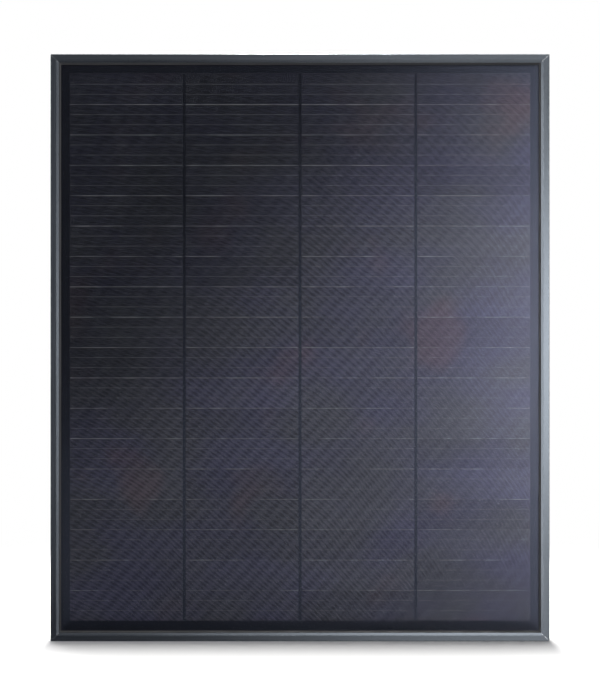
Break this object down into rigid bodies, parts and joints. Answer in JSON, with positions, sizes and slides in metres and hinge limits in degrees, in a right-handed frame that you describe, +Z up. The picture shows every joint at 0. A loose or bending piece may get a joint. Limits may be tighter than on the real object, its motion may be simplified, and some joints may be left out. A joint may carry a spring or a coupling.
{
  "type": "solar panel",
  "caption": "Framed photovoltaic panel of shingled cell strips under glass, in a black mitred frame, with a lidded junction box on the back.",
  "frame": {"origin": "middle of the rectangle of round mounting holes, on the plane of the frame's rear flanges", "axes": "+Z up along the long side, -Y out of the glass, +Y out of the back, +X to the right seen from the front"},
  "size_m": [0.692, 0.03, 0.814],
  "materials": {
    "black_anodised": "black anodised, satin",
    "mill_aluminium": "mill finish",
    "black_silicone": "cured silicone, slightly glossy",
    "front_glass": "tempered, finely textured, anti-reflective",
    "clear_encapsulant": "clear",
    "black_encapsulant": "matte",
    "black_backsheet": "satin film",
    "solar_cell": "coated silicon wafer",
    "black_ribbon": "matte black coating on copper",
    "tinned_copper": "tin plated",
    "black_insulation": "matte",
    "black_box_plastic": "moulded, fine texture",
    "black_nut_plastic": "moulded nylon",
    "grey_rubber": "matte",
    "pin_steel": "drawn",
    "spring_steel": "stamped",
    "diode_epoxy": "moulded",
    "label_film": "satin film"
  },
  "bodies": {
    "panel": {"backsheet": "black_backsheet", "bus_ribbon_bottom": "black_ribbon", "bus_ribbon_negative": "black_ribbon", "bus_ribbon_positive": "black_ribbon", "bypass_diode_left": "diode_epoxy", "bypass_diode_right": "diode_epoxy", "cell_string_1": "solar_cell", "cell_string_2": "solar_cell", "cell_string_3": "solar_cell", "cell_string_4": "solar_cell", "corner_key_lower_left": "mill_aluminium", "corner_key_lower_right": "mill_aluminium", "corner_key_upper_left": "mill_aluminium", "corner_key_upper_right": "mill_aluminium", "diode_leads": "tinned_copper", "edge_sealant": "black_silicone", "frame_rail_bottom": "black_anodised", "frame_rail_left": "black_anodised", "frame_rail_right": "black_anodised", "frame_rail_top": "black_anodised", "front_encapsulant": "clear_encapsulant", "front_glass": "front_glass", "gland_nut_left": "black_nut_plastic", "gland_nut_right": "black_nut_plastic", "gland_seal_left": "grey_rubber", "gland_seal_right": "grey_rubber", "junction_box_adhesive": "black_silicone", "junction_box_base": "black_box_plastic", "lead_insulation": "black_insulation", "lead_middle": "tinned_copper", "lead_negative": "tinned_copper", "lead_positive": "tinned_copper", "lid_hinge_pin_left": "pin_steel", "lid_hinge_pin_right": "pin_steel", "lid_seal": "grey_rubber", "rating_label": "label_film", "rear_encapsulant": "black_encapsulant", "ribbon_clips": "spring_steel", "terminal_rail_middle": "tinned_copper", "terminal_rail_negative": "tinned_copper", "terminal_rail_positive": "tinned_copper"},
    "lid": {"junction_box_lid": "black_box_plastic"}
  },
  "joints": [
    {"name": "lid_hinge", "type": "hinge", "parent": "panel", "child": "lid", "pos_m": [0, -0.0055, 0.3486], "axis": [1, 0, 0], "range_deg": [0, 110]}
  ]
}
